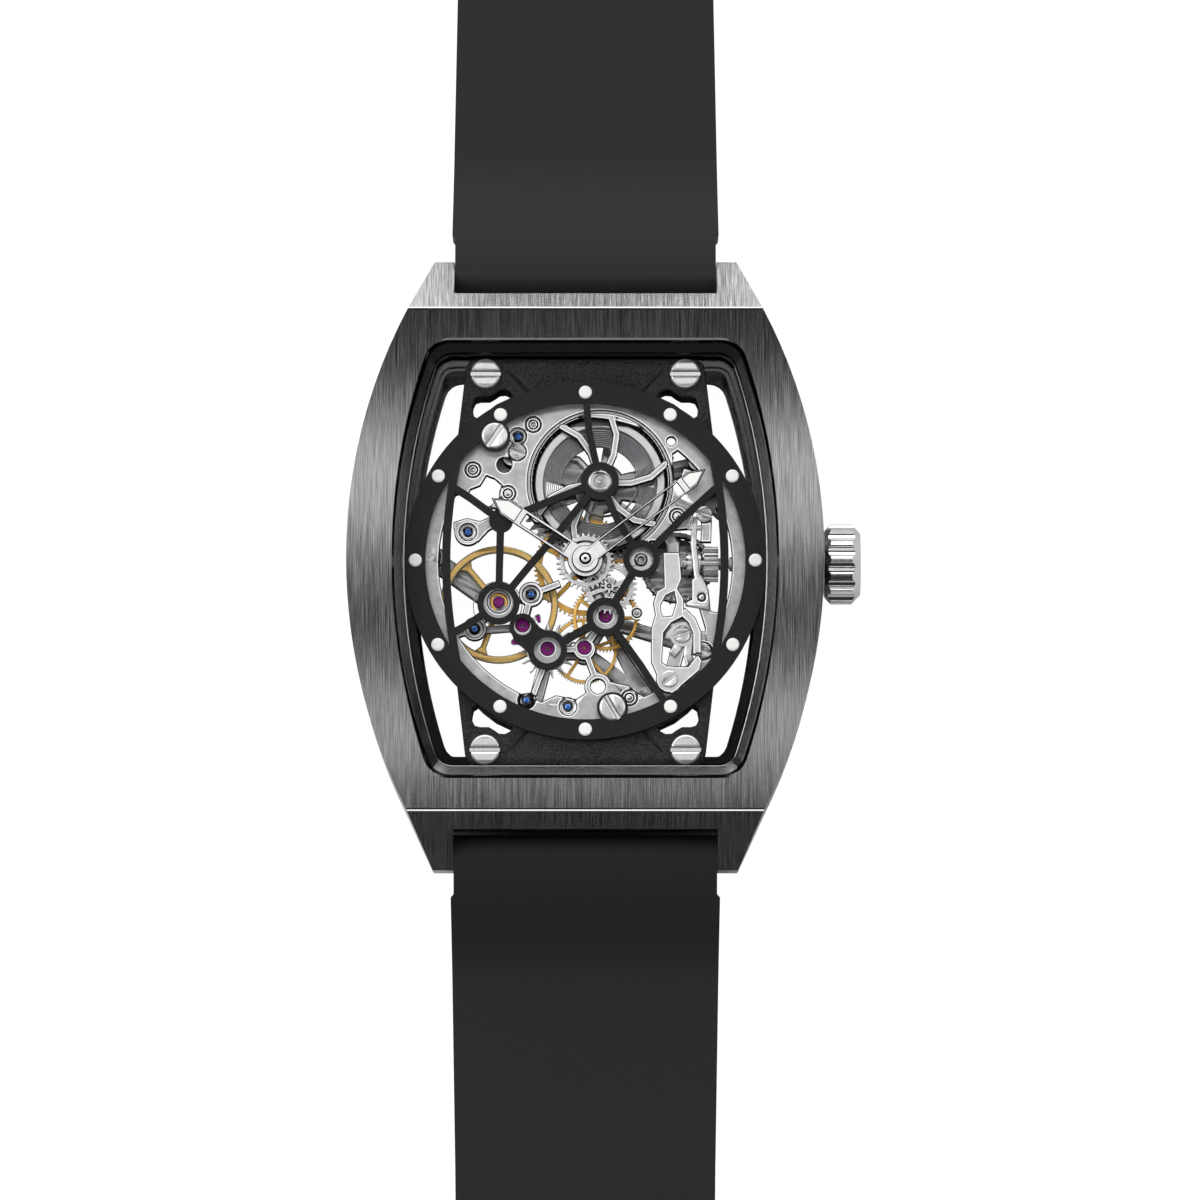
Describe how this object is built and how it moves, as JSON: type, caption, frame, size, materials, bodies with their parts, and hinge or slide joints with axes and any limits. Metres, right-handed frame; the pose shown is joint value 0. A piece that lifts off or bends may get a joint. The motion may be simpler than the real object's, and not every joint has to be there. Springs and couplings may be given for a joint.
{
  "type": "skeleton wristwatch",
  "caption": "Tonneau skeleton wristwatch with an open hand-wound movement, black steel case, rubber strap and pin buckle, lying on its back.",
  "frame": {"origin": "where the axis of the hands meets the back of the case", "axes": "+Z towards the crystal, +Y towards 12 o'clock, +X towards the crown at 3 o'clock"},
  "size_m": [0.0432, 0.2498, 0.0109],
  "materials": {
    "case_steel": "black coated, brushed along the case",
    "flange_black": "polished black",
    "crystal": "clear, coated",
    "crown_steel": "polished",
    "plate_silver": "satin with polished edges",
    "polished_steel": "polished",
    "spoked_steel": "satin",
    "spring_steel": "plain",
    "blue_steel": "heat blued",
    "gilt": "gilt, satin",
    "pale_gilt": "pale gilt, satin",
    "ruby": "clear red, polished",
    "frame_black": "grained matte",
    "web_black": "smooth matte",
    "screw_steel": "satin",
    "marker_white": "matte",
    "hand_steel": "polished",
    "strap_rubber": "matte"
  },
  "bodies": {
    "case": {"case_middle": "case_steel", "bezel": "case_steel", "front_crystal": "crystal", "rehaut": "flange_black", "case_back": "case_steel", "back_crystal": "crystal", "case_back_screws": "crown_steel", "keyless_cover": "polished_steel", "crown_wheel_core": "polished_steel", "main_plate": "plate_silver", "plate_pins": "polished_steel", "plate_screws": "polished_steel", "blue_screws": "blue_steel", "barrel_bridge": "plate_silver", "train_bridge": "plate_silver", "balance_cock": "plate_silver", "pallet_bridge": "plate_silver", "bridge_screws": "blue_steel", "jewels": "ruby", "shock_spring": "pale_gilt", "frame_upper": "frame_black", "frame_lower": "frame_black", "frame_screws": "screw_steel", "dial_web": "web_black", "hour_markers": "marker_white", "dial_screws": "screw_steel", "spring_bars": "crown_steel"},
    "minute": {"centre_wheel": "gilt", "cannon_pinion": "polished_steel", "minute_hand": "hand_steel"},
    "hour": {"hour_wheel": "polished_steel", "hour_hand": "hand_steel"},
    "minute_wheel": {"minute_wheel": "polished_steel"},
    "setting_wheel": {"setting_wheel": "polished_steel"},
    "barrel": {"barrel": "polished_steel", "mainspring": "spring_steel"},
    "arbor": {"barrel_arbor": "polished_steel", "ratchet_wheel": "spoked_steel"},
    "crown_wheel": {"crown_wheel": "polished_steel"},
    "click": {"click": "polished_steel"},
    "third": {"third_wheel": "gilt"},
    "fourth": {"fourth_wheel": "gilt"},
    "escape": {"escape_wheel": "polished_steel"},
    "pallets": {"pallet_fork": "polished_steel", "pallet_stones": "ruby"},
    "balance": {"balance_wheel": "pale_gilt", "hairspring": "spring_steel"},
    "pinion": {"winding_pinion": "polished_steel"},
    "crown": {"crown": "crown_steel", "winding_stem": "polished_steel"},
    "clutch": {"sliding_clutch": "polished_steel"},
    "lever": {"setting_lever": "polished_steel"},
    "yoke": {"yoke": "polished_steel"},
    "strap_upper": {"strap_upper": "strap_rubber", "buckle_bar": "crown_steel", "fixed_keeper": "strap_rubber"},
    "strap_lower": {"strap_lower": "strap_rubber"},
    "buckle": {"buckle_frame": "case_steel"},
    "tongue": {"buckle_tongue": "crown_steel"},
    "keeper": {"sliding_keeper": "strap_rubber"}
  },
  "joints": [
    {"name": "minute_turn", "type": "hinge", "parent": "case", "child": "minute", "pos_m": [0, 0, 0.006], "axis": [0, 0, 1], "continuous": true},
    {"name": "hour_turn", "type": "hinge", "parent": "case", "child": "hour", "pos_m": [0, 0, 0.0068], "axis": [0, 0, 1], "continuous": true},
    {"name": "minute_wheel_turn", "type": "hinge", "parent": "case", "child": "minute_wheel", "pos_m": [0.00202, -0.00211, 0.0062], "axis": [0, 0, 1], "continuous": true},
    {"name": "setting_wheel_turn", "type": "hinge", "parent": "case", "child": "setting_wheel", "pos_m": [0.00468, 0.00018, 0.0062], "axis": [0, 0, 1], "continuous": true},
    {"name": "barrel_turn", "type": "hinge", "parent": "case", "child": "barrel", "pos_m": [0.00123, 0.00685, 0.0042], "axis": [0, 0, 1], "continuous": true},
    {"name": "third_turn", "type": "hinge", "parent": "case", "child": "third", "pos_m": [0.00169, -0.0045, 0.0042], "axis": [0, 0, 1], "continuous": true},
    {"name": "fourth_turn", "type": "hinge", "parent": "case", "child": "fourth", "pos_m": [-0.00008, -0.0072, 0.0042], "axis": [0, 0, 1], "continuous": true},
    {"name": "escape_turn", "type": "hinge", "parent": "case", "child": "escape", "pos_m": [-0.00318, -0.0073, 0.0042], "axis": [0, 0, 1], "continuous": true},
    {"name": "pallet_turn", "type": "hinge", "parent": "case", "child": "pallets", "pos_m": [-0.00528, -0.0053, 0.0049], "axis": [0, 0, 1], "range_deg": [-4, 4]},
    {"name": "balance_turn", "type": "hinge", "parent": "case", "child": "balance", "pos_m": [-0.0073, -0.0033, 0.0039], "axis": [0, 0, 1], "range_deg": [-270, 270], "stiffness_Nm_per_rad": 0.00000057, "deforming": ["hairspring"]},
    {"name": "crown_turn", "type": "hinge", "parent": "case", "child": "pinion", "pos_m": [0.0106, 0, 0.005], "axis": [1, 0, 0], "continuous": true},
    {"name": "crown_wheel_turn", "type": "hinge", "parent": "case", "child": "crown_wheel", "pos_m": [0.00775, 0, 0.0025], "axis": [0, 0, 1], "continuous": true},
    {"name": "ratchet_turn", "type": "hinge", "parent": "case", "child": "arbor", "pos_m": [0.00123, 0.00685, 0.0025], "axis": [0, 0, 1], "continuous": true},
    {"name": "click_turn", "type": "hinge", "parent": "case", "child": "click", "pos_m": [-0.00705, 0.0086, 0.0019], "axis": [0, 0, 1], "range_deg": [-12, 0]},
    {"name": "crown_pull", "type": "slide", "parent": "pinion", "child": "crown", "axis": [1, 0, 0], "range_m": [0, 0.0009]},
    {"name": "clutch_shift", "type": "slide", "parent": "pinion", "child": "clutch", "axis": [1, 0, 0], "range_m": [-0.00035, 0]},
    {"name": "lever_turn", "type": "hinge", "parent": "case", "child": "lever", "pos_m": [0.00814, -0.00615, 0.0062], "axis": [0, 0, 1], "range_deg": [-5, 0]},
    {"name": "yoke_turn", "type": "hinge", "parent": "case", "child": "yoke", "pos_m": [0.00979, -0.003, 0.0063], "axis": [0, 0, 1], "range_deg": [0, 6.7]},
    {"name": "strap_upper_swing", "type": "hinge", "parent": "case", "child": "strap_upper", "pos_m": [0, 0.0246, 0.004], "axis": [1, 0, 0], "range_deg": [-70, 20]},
    {"name": "strap_lower_swing", "type": "hinge", "parent": "case", "child": "strap_lower", "pos_m": [0, -0.0246, 0.004], "axis": [-1, 0, 0], "range_deg": [-70, 20]},
    {"name": "buckle_swing", "type": "hinge", "parent": "strap_upper", "child": "buckle", "pos_m": [0, 0.0984, 0.00155], "axis": [1, 0, 0], "range_deg": [-75, 0]},
    {"name": "tongue_swing", "type": "hinge", "parent": "strap_upper", "child": "tongue", "pos_m": [0, 0.0984, 0.00155], "axis": [1, 0, 0], "range_deg": [0, 110]},
    {"name": "keeper_slide", "type": "slide", "parent": "strap_upper", "child": "keeper", "axis": [0, 1, 0], "range_m": [0, 0.009]}
  ],
  "couplings": [
    {"joint": "hour_turn", "follows": "minute_turn", "ratio": 0.083333},
    {"joint": "minute_wheel_turn", "follows": "minute_turn", "ratio": -0.33333},
    {"joint": "setting_wheel_turn", "follows": "minute_turn", "ratio": 0.55556},
    {"joint": "barrel_turn", "follows": "minute_turn", "ratio": -0.16667},
    {"joint": "third_turn", "follows": "minute_turn", "ratio": -8},
    {"joint": "fourth_turn", "follows": "minute_turn", "ratio": 60},
    {"joint": "escape_turn", "follows": "minute_turn", "ratio": -600},
    {"joint": "crown_wheel_turn", "follows": "crown_turn", "ratio": 0.52632},
    {"joint": "ratchet_turn", "follows": "crown_turn", "ratio": -0.22417},
    {"joint": "clutch_shift", "follows": "crown_pull", "ratio": -0.38889},
    {"joint": "lever_turn", "follows": "crown_pull", "rad_per_m": -96.963},
    {"joint": "yoke_turn", "follows": "crown_pull", "rad_per_m": 129.93}
  ]
}
